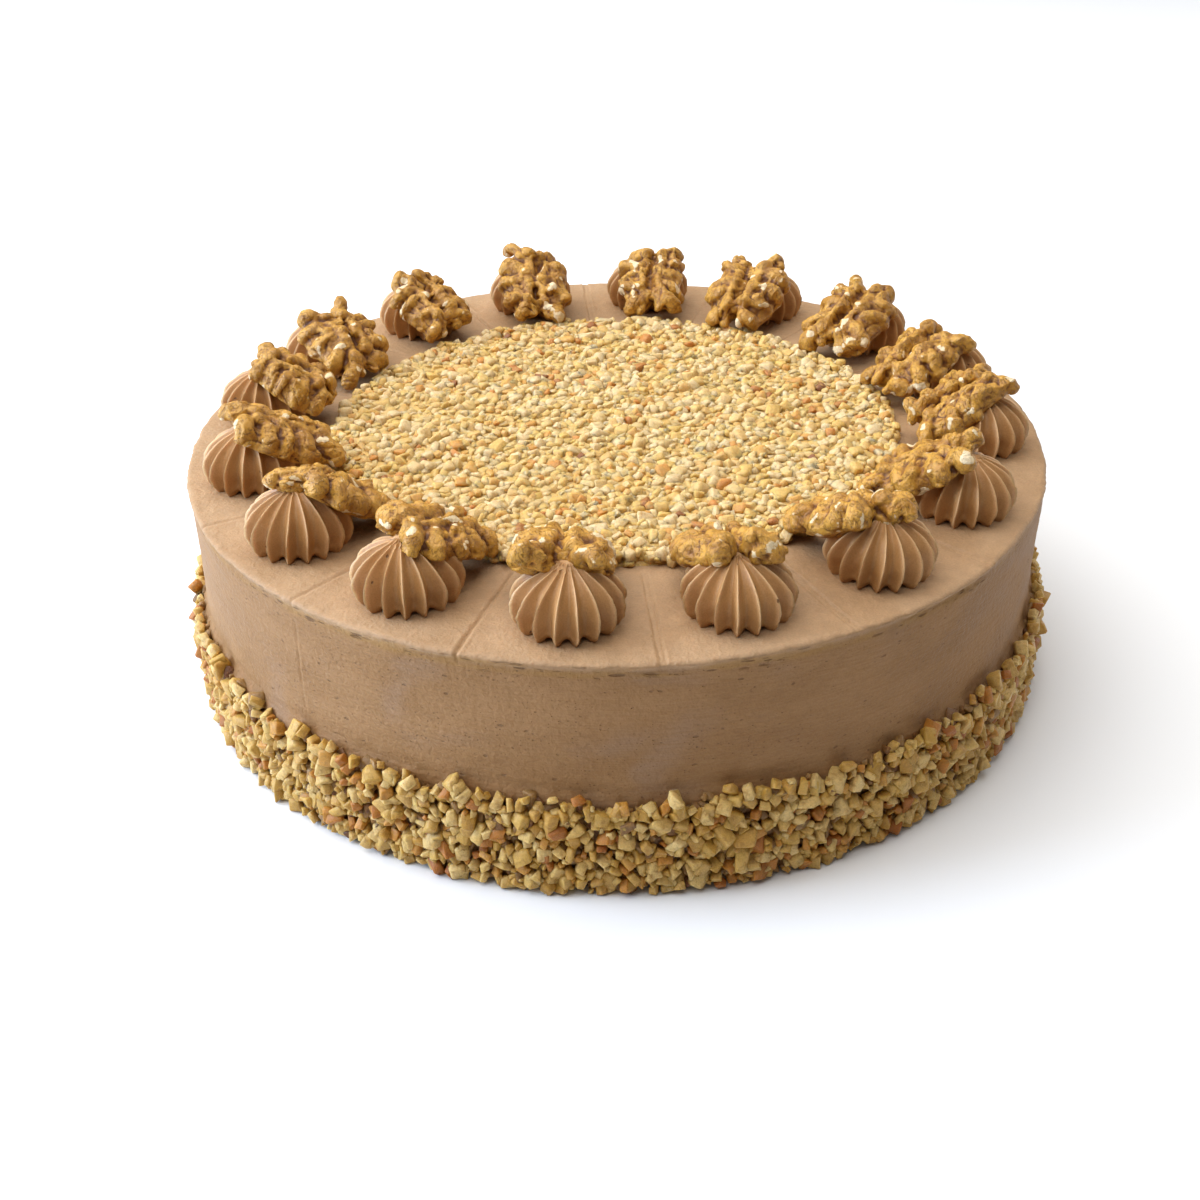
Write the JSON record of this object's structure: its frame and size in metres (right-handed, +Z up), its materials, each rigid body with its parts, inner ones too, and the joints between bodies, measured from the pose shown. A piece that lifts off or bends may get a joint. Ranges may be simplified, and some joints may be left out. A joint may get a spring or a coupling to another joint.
{
  "type": "nut torte",
  "caption": "Round uncut nut torte in mocha buttercream, scored into portions, with a chopped-nut disc and foot band, piped rosettes and walnut halves.",
  "frame": {"origin": "centre of the foot, on the surface the torte stands on", "axes": "+Z up, -Y towards the side seen first"},
  "size_m": [0.2716, 0.2731, 0.0938],
  "materials": {
    "buttercream": "smoothed mocha buttercream, soft satin, with small air pores",
    "piped_cream": "piped mocha buttercream, soft satin, sharp ridges",
    "walnut_kernel": "thin amber skin over pale kernel, slight oily sheen",
    "chopped_nuts": "pale chopped nuts, some toasted golden, matt cut faces"
  },
  "bodies": {
    "root": {"cake": "buttercream", "rosette_01": "piped_cream", "rosette_02": "piped_cream", "rosette_03": "piped_cream", "rosette_04": "piped_cream", "rosette_05": "piped_cream", "rosette_06": "piped_cream", "rosette_07": "piped_cream", "rosette_08": "piped_cream", "rosette_09": "piped_cream", "rosette_10": "piped_cream", "rosette_11": "piped_cream", "rosette_12": "piped_cream", "rosette_13": "piped_cream", "rosette_14": "piped_cream", "rosette_15": "piped_cream", "rosette_16": "piped_cream", "walnut_01": "walnut_kernel", "walnut_02": "walnut_kernel", "walnut_03": "walnut_kernel", "walnut_04": "walnut_kernel", "walnut_05": "walnut_kernel", "walnut_06": "walnut_kernel", "walnut_07": "walnut_kernel", "walnut_08": "walnut_kernel", "walnut_09": "walnut_kernel", "walnut_10": "walnut_kernel", "walnut_11": "walnut_kernel", "walnut_12": "walnut_kernel", "walnut_13": "walnut_kernel", "walnut_14": "walnut_kernel", "walnut_15": "walnut_kernel", "walnut_16": "walnut_kernel"}
  },
  "joints": []
}
